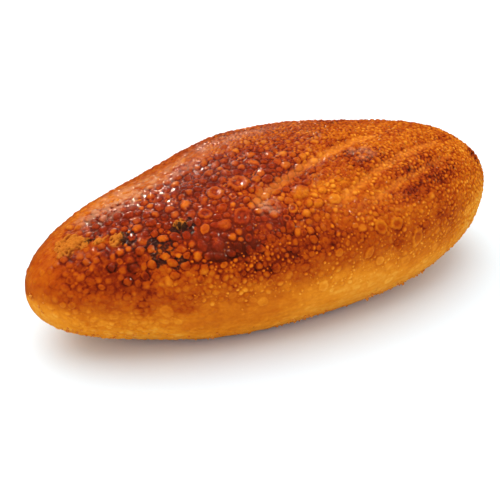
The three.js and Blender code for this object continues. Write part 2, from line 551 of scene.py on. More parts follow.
class BlisterField:
    """All the blisters of the crust, the relief and tone that they give it, and the light and shade painted
    on them.
    """

    CELL = 2.0
    FREE_ROOM = 9.0
    FEATURED_MARGIN = 2.5
    WOBBLE = 0.09
    TRIES = 3.2
    BUTTON_RADIUS = 0.75
    CRATER_RADIUS = 1.15
    LEAST_STRENGTH = 0.35
    OUTLINE_WAVER = 0.16
    STRETCH = 0.32
    THIN_SKIN = 0.45
    OUTLINE_DARK = 0.32
    STEEP = 55.0

    def __init__(self, crust: Crust, surface: Surface, seed: int) -> None:
        """Prepare an empty field.

        Args:
            crust: the smooth crust.
            surface: its quads.
            seed: number that settles where the blisters are.
        """
        self._crust = crust
        self._surface = surface
        self._draw = np.random.default_rng(seed)
        count = len(crust.place)
        self.height = np.zeros(count)
        self.glow = np.zeros(count)
        self.pebbles = np.zeros(count)
        self._room = np.full(count, self.FREE_ROOM)
        noise = DoughNoise(seed + 1)
        self._waver = self.OUTLINE_WAVER * (noise.at(crust.place, 0.9) + noise.at(crust.place, 2.2))
        self._mood = noise.layered(crust.place + NoiseShift.MOOD.value, 6.0, 2)
        self._gathering = noise.layered(crust.place + NoiseShift.GATHERING.value, 5.0, 2)
        self._cells = self._sort_into_cells()
        self.total = 0

    def _sort_into_cells(self) -> dict[tuple[int, int, int], np.ndarray]:
        """Group the points by the cube of space that they lie in."""
        cube = np.floor(self._crust.place / self.CELL).astype(np.int64)
        order = np.lexsort(cube.T)
        ordered = cube[order]
        starts = np.flatnonzero(np.any(np.diff(ordered, axis=0), axis=1)) + 1
        groups = np.split(order, starts)
        keys = ordered[np.concatenate([[0], starts])]
        return {tuple(key): group for key, group in zip(keys.tolist(), groups)}

    def _around(self, centre: np.ndarray, radius: float) -> np.ndarray:
        """The points in the cubes that a ball touches."""
        low = np.floor((centre - radius) / self.CELL).astype(int)
        high = np.floor((centre + radius) / self.CELL).astype(int) + 1
        spans = [range(a, b) for a, b in zip(low, high)]
        found = [self._cells[key] for key in product(*spans) if key in self._cells]
        return np.concatenate(found) if found else np.zeros(0, dtype=np.int64)

    @staticmethod
    def _profile(shape: BlisterShape, share: np.ndarray, slope: float) -> np.ndarray:
        """The height of a blister of radius 1 at each share of its radius.

        Args:
            shape: how the blister stands.
            share: distances from its centre, as shares of the radius.
            slope: the angle at its edge, in degrees.

        Returns:
            The heights, 0 from the edge on.
        """
        turn = math.radians(slope)
        ball = 1.0 / math.sin(turn)
        inside = np.clip(share, 0.0, 1.0)
        cap = np.sqrt(ball ** 2 - inside ** 2) - ball * math.cos(turn)
        top = ball - ball * math.cos(turn)
        if shape is BlisterShape.BUTTON:
            return np.minimum(cap, top * 0.50 + cap * 0.25)
        if shape is BlisterShape.CRATER:
            bowl = 1.0 - 0.62 * (1.0 - smooth_step(0.25, 0.72, inside))
            return np.minimum(cap, 0.5 * top) * bowl
        return cap

    def _raise(self, centre: np.ndarray, normal: np.ndarray, radius: float, shape: BlisterShape,
               slope: float, tone: float, margin: float) -> None:
        """Raise one blister and take up its room.

        Args:
            centre: its middle, in millimetres.
            normal: the crust's normal there.
            radius: its radius.
            shape: how it stands.
            slope: the angle at its edge, in degrees.
            tone: how much paler or darker than the crust it is.
            margin: how far around its edge the room is kept up to date.
        """
        near = self._around(centre, radius + margin)
        offset = self._crust.place[near] - centre
        away = np.linalg.norm(offset, axis=1)
        self._room[near] = np.minimum(self._room[near], away - radius)
        axis = np.cross(normal, self._draw.normal(size=3))
        axis /= np.linalg.norm(axis)
        stretch = self._draw.uniform(-self.STRETCH, self.STRETCH)
        long_way = offset @ axis
        bent = np.sqrt(np.maximum(away ** 2 + (2.0 * stretch + stretch ** 2) * long_way ** 2, 0.0))
        share = bent / radius * (1.0 + self._waver[near])
        inside = share < 1.0
        if not inside.any():
            return
        chosen, share = near[inside], share[inside]
        height = radius * self._profile(shape, share, slope)
        higher = height > self.height[chosen]
        chosen, height, share = chosen[higher], height[higher], share[higher]
        self.height[chosen] = height
        low_side = -(self._crust.place[chosen, 2] - centre[2]) / radius
        # Painted shade: each blister is darkened around its foot, more for steeper ones.
        foot_shade = -self.OUTLINE_DARK * min(slope / self.STEEP, 1.0) * smooth_step(0.68, 0.96, share)
        self.glow[chosen] = self._glow(shape, share, radius, tone, low_side) + foot_shade
        self.total += 1

    def _glow(self, shape: BlisterShape, share: np.ndarray, radius: float, tone: float,
              low_side: np.ndarray) -> np.ndarray:
        """How much paler the skin of a blister is than the crust, with painted light on its lower side as if
        shining through the thin skin.

        Args:
            shape: how the blister stands.
            share: distances from its centre, as shares of the radius.
            radius: its radius.
            tone: its own tone.
            low_side: from -1, at its upper side, to 1, at its lower side.

        Returns:
            A value below 0 where the skin is darker, and from 0 to a little over 1 where paler.
        """
        edge = 1.0 - smooth_step(0.2, 1.0, share)
        if shape is BlisterShape.CRATER:
            ring = smooth_step(0.35, 0.70, share)
            rim_fade = 1.0 - smooth_step(0.78, 1.0, share)
            return rim_fade * lerp(min(tone, 0.0) - 0.15, max(0.6 * tone, 0.2), ring)
        if tone < 0.0:
            return edge * tone
        if shape is BlisterShape.BUTTON:
            rim = smooth_step(0.3, 0.7, share)
            return tone * lerp(0.65, 1.0, rim) * (1.0 - smooth_step(0.75, 1.0, share))
        wide = float(smooth_step(0.7, 1.5, np.array(radius)))
        hollow = 0.3 * wide * (1.0 - smooth_step(0.0, 0.6, share))
        # Painted light: the lower side of a blister is made paler, as if light shone through its thin skin.
        return 1.2 * edge * tone * (1.0 - hollow) * (1.0 + self.THIN_SKIN * low_side)

    def feature(self, blisters: tuple[Blister, ...]) -> None:
        """Raise the blisters that are placed one by one."""
        for blister in blisters:
            centre = self._crust.nearest(blister.x, blister.angle)
            index = int(np.argmin(np.linalg.norm(self._crust.place - centre, axis=1)))
            self._raise(centre, self._surface.normal[index], blister.diameter / 2.0,
                        blister.shape, blister.slope, blister.tone, self.FEATURED_MARGIN)

    def _weights(self, zones: tuple[CrustZone, ...]) -> np.ndarray:
        """How strongly each zone holds at each point, as shares that add up to at most 1."""
        strength = []
        for zone in zones:
            centre = self._crust.nearest(zone.x, zone.angle)
            offset = self._crust.place - centre
            across = np.hypot(offset[:, 1], offset[:, 2])
            away = (offset[:, 0] / zone.half_length) ** 2 + (across / zone.half_girth) ** 2
            strength.append(np.exp(-(away ** 1.5)))
        strength = np.array(strength)
        return strength / np.maximum(strength.sum(axis=0), self.LEAST_STRENGTH)

    def scatter(self, zones: tuple[CrustZone, ...], bare: np.ndarray) -> None:
        """Fill the zones with blisters, the largest first.

        Args:
            zones: the kinds of crust and where they are.
            bare: from 0 to 1 at each point, how much it is kept clear.
        """
        rows = []
        weights = self._weights(zones) * (1.0 - bare)
        for zone, weight in zip(zones, weights):
            self.pebbles += zone.style.pebbles * weight
        for zone, weight in zip(zones, weights * self._surface.area):
            gathered = smooth_step(-0.25, 0.35, self._gathering)
            rows.append(self._candidates(zone.style, weight * lerp(1.0, gathered, zone.style.clusters)))
        candidates = np.concatenate(rows)
        candidates = candidates[np.argsort(-candidates[:, 1])]
        for index, radius, gap, slope, tone, kind in candidates:
            point = int(index)
            if self._room[point] < radius * (1.0 + gap):
                continue
            wobble = self._draw.normal(size=3) * self.WOBBLE
            normal = self._surface.normal[point]
            centre = self._crust.place[point] + wobble - normal * (wobble @ normal)
            shape = list(BlisterShape)[int(kind)]
            self._raise(centre, normal, radius, shape, slope, tone, radius * 1.6 + 0.2)

    def _candidates(self, style: BlisterStyle, weight: np.ndarray) -> np.ndarray:
        """Draw blisters of one style that may be raised if there is room.

        Args:
            style: the kind of blister.
            weight: area at each point that belongs to the style.

        Returns:
            One row each: point, radius, gap, slope, tone and kind.
        """
        total = weight.sum()
        mean_radius = style.smallest / 2.0 + (style.largest - style.smallest) / 2.0 / (1.0 + style.skew)
        tries = int(self.TRIES * style.cover * total / (math.pi * mean_radius ** 2))
        cumulative = np.cumsum(weight) / total
        point = np.searchsorted(cumulative, self._draw.random(tries)).clip(max=len(weight) - 1)
        size = self._draw.random(tries) ** style.skew
        radius = lerp(style.smallest, style.largest, size) / 2.0
        keep = self._draw.random(tries) < np.clip(style.cover + 0.2, 0.0, 1.0)
        slope = style.slope * self._draw.uniform(0.75, 1.15, tries)
        mood = np.clip(0.85 * self._draw.random(tries) + 0.15 + 0.4 * self._mood[point], 0.0, 1.0)
        tone = lerp(style.dark, style.pale, mood)
        dice = self._draw.random(tries)
        kind = np.where((dice < style.craters) & (radius > self.CRATER_RADIUS), 2, 0)
        kind = np.where((dice > 1.0 - style.buttons) & (radius > self.BUTTON_RADIUS), 1, kind)
        gap = np.full(tries, style.gap)
        return np.stack([point, radius, gap, slope, tone, kind], axis=1)[keep]


# ---------------------------------------------------------------------------------------------
# Baking: how dark, glossy, burnt or torn the crust is, and the shade and sheen painted on it
# ---------------------------------------------------------------------------------------------


@dataclass(frozen=True)
class Patch:
    """An oval of crust that is held more or less strongly: baked darker or paler, burnt, torn, or satin with
    a painted sheen.
    """

    x: float
    angle: float
    half_length: float
    half_girth: float
    amount: float
    lean: float = 0.0

    FADE = (0.45, 1.25)

    def share(self, crust: Crust, fray: np.ndarray) -> np.ndarray:
        """Find how strongly the patch holds at each point.

        Args:
            crust: the crust that it lies on.
            fray: noise that makes its border uneven.

        Returns:
            A share from 0, outside, to 1, at its middle.
        """
        offset = crust.place - crust.nearest(self.x, self.angle)
        across = np.hypot(offset[:, 1], offset[:, 2]) * np.sign(crust.angle - self.angle)
        along = offset[:, 0] + self.lean * across
        away = np.hypot(along / self.half_length, across / self.half_girth)
        return 1.0 - smooth_step(*self.FADE, away + fray)


CARAMEL = (
    Patch(-26.0, 116.0, 37.0, 21.0, 0.20),
    Patch(-52.0, 93.0, 15.0, 7.0, 0.14),
    Patch(-20.0, 142.0, 20.0, 10.0, 0.12),
    Patch(6.0, 104.0, 22.0, 11.0, 0.05),
    Patch(-8.0, 144.0, 10.0, 6.0, 0.05),
)
DARKER = (
    Patch(-14, 160, 26, 8, 0.13),
    Patch(8, 170, 34, 8, 0.14),
    Patch(-50, 157, 5, 9, 0.08),
    Patch(-58, 165, 10, 12, 0.05),
    Patch(-44, 178, 9, 6, 0.17),
    Patch(28, 119, 6, 5.5, 0.17),
    Patch(36, 125, 8, 3.5, 0.10, 0.6),
    Patch(42, 139, 7, 3, 0.18, 0.6),
    Patch(52, 127, 9, 3.5, 0.13, 0.8),
    Patch(38, 154, 7, 3.5, 0.12),
    Patch(44, 150, 7, 4, 0.17, 0.6),
    Patch(56, 143, 10, 5, 0.14, 0.8),
    Patch(57, 108, 7, 4, 0.12, 0.6),
    Patch(66, 100, 6, 3.5, 0.14, 0.6),
    Patch(44, 95, 10, 4, 0.08, 0.6),
    Patch(62, 160, 16, 14, 0.08),
    Patch(-62, 150, 16, 22, 0.18),
    Patch(-32, 192, 26, 16, 0.10),
    Patch(60, 190, 14, 16, 0.06),
    Patch(75, 130, 2.5, 3.5, 0.34),
    Patch(20, 48, 30, 16, 0.06),
    Patch(-20, 40, 26, 10, 0.08),
    Patch(46, 182, 26, 10, 0.15),
    Patch(-24, 192, 30, 10, 0.12),
    Patch(-24, 156, 9, 6, 0.17),
    Patch(40, 30, 12, 8, 0.14),
    Patch(0, 18, 22, 8, 0.08),
)
PALER = (
    Patch(-14, 124, 14, 8, 0.16),
    Patch(-26, 134, 12, 5, 0.06),
    Patch(0, 137, 12, 6, 0.12),
    Patch(12, 140, 9, 5, 0.10),
    Patch(-8, 139, 5, 4, 0.12),
    Patch(36, 118, 30, 18, 0.09),
    Patch(46, 90, 26, 14, 0.08),
    Patch(-58, 126, 9, 7, 0.10),
    Patch(-50, 68, 28, 12, 0.12),
    Patch(32, 156, 22, 9, 0.06),
    Patch(68, 150, 14, 22, 0.15),
    Patch(11, 104, 12, 7, 0.12),
    Patch(64, 172, 12, 12, 0.10),
    Patch(74, 110, 9, 30, 0.10),
    Patch(6, 72, 28, 8, 0.04),
)
BURNT = (
    Patch(-43, 140, 6.0, 4.5, 1.0),
    Patch(-44, 148, 7.0, 4.5, 1.0, 0.3),
    Patch(-40, 154, 5.0, 2.5, 1.0),
    Patch(-50, 131, 3.0, 4.0, 1.0),
    Patch(-35, 137, 5.0, 2.5, 1.0),
    Patch(-38, 132, 1.5, 3.0, 0.9),
    Patch(-32, 133, 1.5, 3.0, 0.8),
    Patch(-60, 110, 4.0, 1.5, 0.8),
    Patch(-71, 107, 2.0, 1.0, 0.5),
    Patch(22, 42, 2.5, 2.0, 0.6),
    Patch(-11, 114, 1.5, 1.5, 0.5),
)
# Satin skin: less rough, and painted in streaks with a pale pinkish sheen in its colour.
SATIN_AND_PAINTED_SHEEN = (
    Patch(-52.0, 79.0, 15.0, 6.0, 1.0),
    Patch(-36.0, 66.0, 24.0, 8.0, 1.0),
    Patch(-8.0, 58.0, 20.0, 5.0, 0.7),
    Patch(-8.0, 138.0, 4.5, 3.5, 1.0),
    Patch(30.0, 117.0, 5.0, 4.0, 0.6),
)
TORN = (
    Patch(-68, 99, 4.5, 4.5, 1.0),
    Patch(-64, 107, 3.0, 3.0, 0.9),
    Patch(-58, 118, 3.5, 1.5, 0.7),
    Patch(-54, 126, 2.5, 2.5, 0.7),
    Patch(-35, 132, 1.8, 1.8, 1.0),
)


@dataclass(frozen=True)
class CrustPaint:
    """What the material reads at each point: shares from 0 to about 1, and the glow, 0 or either side."""

    bake: np.ndarray
    caramel: np.ndarray
    glow: np.ndarray
    valley: np.ndarray
    pebbles: np.ndarray
    char: np.ndarray
    torn: np.ndarray
    shard: np.ndarray
    fold: np.ndarray
    side: np.ndarray
    satin: np.ndarray
    sheet: np.ndarray

    def items(self) -> list[tuple[str, np.ndarray]]:
        """The names and values, in a fixed order."""
        return [(name, getattr(self, name)) for name in self.__dataclass_fields__]


@dataclass(frozen=True)
class BakingRates:
    """How much each influence darkens the crust, or pales it where it is taken off."""

    base: float = 0.18
    crown: float = 0.30
    broad: float = 0.07
    side: float = 0.07
    fold: float = 0.12
    streak: float = 0.07
    blotches: float = 0.13
    rim: float = 0.42
    rim_height: float = 2.2
    most: float = 0.92
    caramel: float = 3.4


@dataclass(frozen=True)
class ReliefHeights:
    """How high each kind of relief stands or sinks, in millimetres."""

    crinkle: float = 0.05
    caramel_crinkle: float = 0.08
    streak: float = 0.06
    broad: float = 0.30
    torn: float = 1.5
    torn_sunk: float = 0.3
    char: float = 0.55
    char_sunk: float = 0.35


class Baker:
    """Works out the relief and the baking of the whole crust, and where shade and sheen are painted on it."""

    STREAK_SQUEEZE = np.array([0.16, 1.0, 1.0])
    SHARD_SQUEEZE = np.array([0.7, 1.0, 1.0])
    RATES = BakingRates()
    HEIGHTS = ReliefHeights()

    def __init__(self, form: RollForm, lattice: BoxLattice, seed: int) -> None:
        """Lay out the smooth crust.

        Args:
            form: the roll's form.
            lattice: the divisions of the mesh.
            seed: number that settles all the noise.
        """
        points, quads = lattice.quads()
        self.direction = lattice.directions(points)
        self.crust = form.shape(self.direction)
        self.surface = Surface(self.crust.place, quads)
        self._noise = DoughNoise(seed)
        self._seed = seed

    def _most(self, patches: tuple[Patch, ...], fray: np.ndarray) -> np.ndarray:
        """The strongest of some patches at each point."""
        return np.max([patch.amount * patch.share(self.crust, fray) for patch in patches], axis=0)

    def _sum(self, patches: tuple[Patch, ...], fray: np.ndarray) -> np.ndarray:
        """Some patches added up at each point."""
        return np.sum([patch.amount * patch.share(self.crust, fray) for patch in patches], axis=0)

    def bake(self) -> tuple[np.ndarray, CrustPaint]:
        """Raise and bake the crust.

        Returns:
            The finished points in millimetres, and the paint.
        """
        crust, noise = self.crust, self._noise
        place = crust.place
        broad = noise.layered(place, 9.0, 3)
        fray = 0.42 * noise.layered(place + NoiseShift.FRAY.value, 5.0, 3)
        fine = noise.layered(place + NoiseShift.FINE.value, 1.1, 2)
        streak = noise.layered(place * self.STREAK_SQUEEZE + NoiseShift.STREAK.value, 1.3, 2)

        near_side = smooth_step(167.0, 196.0, crust.angle + 15.0 * broad + 10.0 * fray)
        far_side = smooth_step(14.0, -14.0, crust.angle + 14.0 * broad + 10.0 * fray)
        side = np.maximum(near_side, far_side)
        sheet = self.surface.smoothed(crust.flat.astype(float), 3)
        fold = smooth_step(0.50, 1.0, crust.pressed + 0.7 * fray + 0.2 * fine)
        torn = self._most(TORN, fray * 2.2)
        char = self._most(BURNT, fray * 2.2)

        blisters = BlisterField(crust, self.surface, self._seed)
        blisters.feature(FEATURED)
        bare = np.clip(np.maximum.reduce([fold * 0.55, torn, sheet, char * 0.5]), 0.0, 1.0)
        blisters.scatter(ZONES, bare)
        log.info("raised %d blisters", blisters.total)
        swell = blisters.height * (1.0 - 0.9 * torn)
        # Painted shade: darker where the crust lies below the average of its neighbours, in the crevices
        # between blisters.
        valley = smooth_step(0.0, 0.22, self.surface.smoothed(swell, 22) - swell)
        char = char * (1.0 - 0.75 * smooth_step(0.08, 0.42, swell))

        ragged = crust.angle + 14.0 * broad + 12.0 * fray
        crown = smooth_step(196.0, 152.0, ragged) * smooth_step(-20.0, 30.0, crust.angle)
        caramel = self._sum(CARAMEL, fray)
        dark = caramel + self._sum(DARKER, fray) - self._sum(PALER, fray)
        rates, heights = self.RATES, self.HEIGHTS
        caramel = np.clip(rates.caramel * caramel, 0.0, 1.0)
        bake = rates.base + rates.crown * crown + dark + rates.broad * broad
        bake = bake - rates.side * side - rates.fold * fold
        bake += rates.streak * streak * (1.0 - crown * 0.5)
        bake += rates.blotches * noise.layered(place + NoiseShift.BLOTCHES.value, 2.6, 2) * crown
        # Darker in a band within a few millimetres of the table, fading with height.
        bake += rates.rim * np.exp(-((place[:, 2] / rates.rim_height) ** 2)) * (1.0 - sheet)
        bake = np.clip(bake, 0.0, rates.most)

        crinkle = heights.crinkle + heights.caramel_crinkle * caramel
        relief = swell + crinkle * fine * (1.0 - 0.8 * side) + heights.streak * streak
        relief = relief + heights.broad * broad * (1.0 - sheet)
        shard = self._shards()
        relief = relief + torn * (heights.torn * shard - heights.torn_sunk)
        relief = relief + char * (heights.char * shard - heights.char_sunk)
        relief = relief * (1.0 - sheet)
        place = place + self.surface.normal * relief[:, None]
        place[:, 2] = np.where(crust.flat, crust.place[:, 2], np.maximum(place[:, 2], 0.0))
        paint = CrustPaint(bake, caramel, blisters.glow * (1.0 - torn), valley, blisters.pebbles,
                           char, torn, shard, fold, side, self._sum(SATIN_AND_PAINTED_SHEEN, fray), sheet)
        return place, paint

    def _shards(self) -> np.ndarray:
        """How high the torn, flaky crust stands at each point, from 0 in its cracks to 1."""
        place = self.crust.place
        bent = place + 0.7 * self._noise.at(place + NoiseShift.BEND.value, 1.8)[:, None]
        crossed = self._noise.layered(bent * self.SHARD_SQUEEZE + NoiseShift.SHARDS.value, 1.9, 3)
        ridge = 1.0 - 2.2 * np.abs(crossed)
        chips = self._noise.at(place + NoiseShift.CHIPS.value, 0.7)
        return np.clip(ridge + 0.4 * chips, 0.0, 1.0)


# ---------------------------------------------------------------------------------------------
# Shader building
# ---------------------------------------------------------------------------------------------


Socket = bpy.types.NodeSocket
Value = Socket | float | Colour


class Graph:
    """A node tree that is built by calls that read like formulas."""

    def __init__(self, tree: bpy.types.NodeTree) -> None:
        """Start with a tree emptied of its nodes."""
        self.tree = tree
        tree.nodes.clear()

    def node(self, kind: str, settings: dict[str, object] | None = None,
             **inputs: Value) -> bpy.types.Node:
        """Add a node.

        Args:
            kind: the node's type name.
            settings: properties of the node.
            **inputs: input sockets by name, with _ for a space, each a value or a link.

        Returns:
            The node.
        """
        made = self.tree.nodes.new(kind)
        for name, value in (settings or {}).items():
            setattr(made, name, value)
        for name, value in inputs.items():
            self.feed(made.inputs[name.replace("_", " ")], value)
        return made

    def feed(self, socket: Socket, value: Value) -> None:
        """Set an input socket to a value, or link it."""
        if isinstance(value, bpy.types.NodeSocket):
            self.tree.links.new(value, socket)
        elif isinstance(value, tuple) and len(value) == 3 and socket.type == "RGBA":
            socket.default_value = (*value, 1.0)
        else:
            socket.default_value = value

    def math(self, operation: str, first: Value, second: Value = 0.0, clamp: bool = False) -> Socket:
        """Add a Math node and return its result."""
        made = self.node("ShaderNodeMath", {"operation": operation, "use_clamp": clamp})
        self.feed(made.inputs[0], first)
        self.feed(made.inputs[1], second)
        return made.outputs[0]

    def vector(self, operation: str, first: Value, second: Value) -> Socket:
        """Add a Vector Math node and return its result."""
        made = self.node("ShaderNodeVectorMath", {"operation": operation})
        self.feed(made.inputs[0], first)
        self.feed(made.inputs[1], second)
        return made.outputs[0]

    def ranged(self, value: Value, low: float, high: float, start: float, end: float) -> Socket:
        """Map a value from low..high to start..end, smoothly and clamped."""
        made = self.node("ShaderNodeMapRange", {"interpolation_type": "SMOOTHSTEP"}, Value=value,
                         From_Min=low, From_Max=high, To_Min=start, To_Max=end)
        return made.outputs["Result"]

    def blend(self, share: Value, first: Value, second: Value) -> Socket:
        """Mix two colours and return the result."""
        made = self.node("ShaderNodeMix", {"data_type": "RGBA"})
        self.feed(made.inputs["Factor"], share)
        self.feed(made.inputs[6], first)
        self.feed(made.inputs[7], second)
        return made.outputs[2]

    def mask(self, name: str) -> Socket:
        """Read a value stored on the mesh."""
        return self.node("ShaderNodeAttribute", {"attribute_name": name}).outputs["Fac"]

    def grain(self, scale: float, detail: float = 2.0, roughness: float = 0.55) -> Socket:
        """Read noise in the object's own space, with its lumps given per metre."""
        where = self.node("ShaderNodeTexCoord").outputs["Object"]
        made = self.node("ShaderNodeTexNoise", Vector=where, Scale=scale, Detail=detail,
                         Roughness=roughness)
        return made.outputs["Fac"]

    def ramp(self, share: Value, stops: tuple[tuple[float, Colour], ...]) -> Socket:
        """Turn a value into a colour through a ramp."""
        made = self.node("ShaderNodeValToRGB", Fac=share)
        elements = made.color_ramp.elements
        while len(elements) < len(stops):
            elements.new(0.5)
        for element, (position, colour) in zip(elements, stops):
            element.position = position
            element.color = (*colour, 1.0)
        return made.outputs["Color"]


GroupParts = tuple[bpy.types.NodeTree, Graph, dict[str, Socket], bpy.types.Node]


def shader_group(name: str, inputs: tuple[tuple[str, float], ...],
                 outputs: tuple[tuple[str, str], ...]) -> GroupParts:
    """Start a shader node group.

    Args:
        name: the group's name.
        inputs: names and default values of its float inputs.
        outputs: names and socket types of its outputs.

    Returns:
        The group, its graph, its inputs as sockets to read, and its output node.
    """
    tree = bpy.data.node_groups.new(name, "ShaderNodeTree")
    for label, value in inputs:
        made = tree.interface.new_socket(label, in_out="INPUT", socket_type="NodeSocketFloat")
        made.default_value = value
    for label, kind in outputs:
        tree.interface.new_socket(label, in_out="OUTPUT", socket_type=kind)
    graph = Graph(tree)
    entry = graph.node("NodeGroupInput")
    leave = graph.node("NodeGroupOutput")
    return tree, graph, {label: entry.outputs[label] for label, _ in inputs}, leave


class SharedEffects:
    """The effects that both the crust and the crumbs use, each a node group built once."""

    BAKING_STOPS = (
        (0.0, (0.80, 0.35, 0.036)),
        (0.14, (0.72, 0.235, 0.010)),
        (0.30, (0.59, 0.150, 0.004)),
        (0.46, (0.47, 0.092, 0.002)),
        (0.62, (0.38, 0.050, 0.001)),
        (0.80, (0.19, 0.013, 0.001)),
        (1.0, (0.03, 0.004, 0.001)),
    )

    def __init__(self) -> None:
        """Build the groups."""
        self.baking = self._baking()
        self.pitting = self._pitting()
        self.pebbles = self._pebbles()

    def _baking(self) -> bpy.types.NodeTree:
        """Colour of dough baked to a given darkness, mottled by fine noise."""
        inputs = (("Bake", 0.3), ("Mottle", 0.1), ("Mottle Scale", 700.0))
        tree, graph, given, leave = shader_group("dough_baking", inputs, (("Color", "NodeSocketColor"),))
        where = graph.node("ShaderNodeTexCoord").outputs["Object"]
        fine = graph.node("ShaderNodeTexNoise", Vector=where, Scale=given["Mottle Scale"], Detail=3.0,
                          Roughness=0.6).outputs["Fac"]
        shift = graph.math("MULTIPLY", graph.math("SUBTRACT", fine, 0.5), given["Mottle"])
        total = graph.math("ADD", given["Bake"], shift, clamp=True)
        graph.feed(leave.inputs["Color"], graph.ramp(total, self.BAKING_STOPS))
        return tree

    @staticmethod
    def _pitting() -> bpy.types.NodeTree:
        """Height of a dry dough skin: wrinkles with small pits in them."""
        inputs = (("Scale", 1200.0), ("Pits", 0.5))
        tree, graph, given, leave = shader_group("dough_pitting", inputs, (("Height", "NodeSocketFloat"),))
        where = graph.node("ShaderNodeTexCoord").outputs["Object"]
        wrinkle = graph.node("ShaderNodeTexNoise", Vector=where, Scale=given["Scale"], Detail=4.0,
                             Roughness=0.62).outputs["Fac"]
        cells = graph.node("ShaderNodeTexVoronoi", {"feature": "SMOOTH_F1"}, Vector=where,
                           Scale=given["Scale"]).outputs["Distance"]
        pits = graph.math("MULTIPLY", graph.ranged(cells, 0.0, 0.5, -1.0, 0.0), given["Pits"])
        graph.feed(leave.inputs["Height"], graph.math("ADD", wrinkle, pits))
        return tree

    @staticmethod
    def _pebbles() -> bpy.types.NodeTree:
        """Tiny uneven domes packed against each other: their height, their own tone, and the painted shade in
        the gaps between them.
        """
        inputs = (("Scale", 1000.0), ("Waver", 0.0005))
        outputs = (("Height", "NodeSocketFloat"), ("Tone", "NodeSocketFloat"), ("Gap", "NodeSocketFloat"))
        tree, graph, given, leave = shader_group("crust_pebbles", inputs, outputs)
        where = graph.node("ShaderNodeTexCoord").outputs["Object"]
        shift = graph.node("ShaderNodeTexNoise", Vector=where, Scale=700.0, Detail=2.0).outputs["Color"]
        centred = graph.vector("SUBTRACT", shift, (0.5, 0.5, 0.5))
        scaled = graph.node("ShaderNodeVectorMath", {"operation": "SCALE"}, Scale=given["Waver"])
        graph.feed(scaled.inputs[0], centred)
        bent = graph.vector("ADD", where, scaled.outputs[0])
        cells = graph.node("ShaderNodeTexVoronoi", Vector=bent, Scale=given["Scale"])
        away = cells.outputs["Distance"]
        split = graph.node("ShaderNodeSeparateColor", Color=cells.outputs["Color"])
        graph.feed(leave.inputs["Height"], graph.ranged(away, 0.0, 0.68, 1.0, 0.0))
        graph.feed(leave.inputs["Tone"], split.outputs[0])
        graph.feed(leave.inputs["Gap"], graph.ranged(away, 0.40, 0.68, 0.0, 1.0))
        return tree


def new_material(name: str) -> tuple[bpy.types.Material, Graph, bpy.types.Node]:
    """Start a material with a Principled shader.

    Args:
        name: the material's name.

    Returns:
        The material, its graph and the Principled node.
    """
    material = bpy.data.materials.new(name)
    material.use_nodes = True
    graph = Graph(material.node_tree)
    leave = graph.node("ShaderNodeOutputMaterial")
    shader = graph.node("ShaderNodeBsdfPrincipled")
    graph.tree.links.new(shader.outputs["BSDF"], leave.inputs["Surface"])
    return material, graph, shader


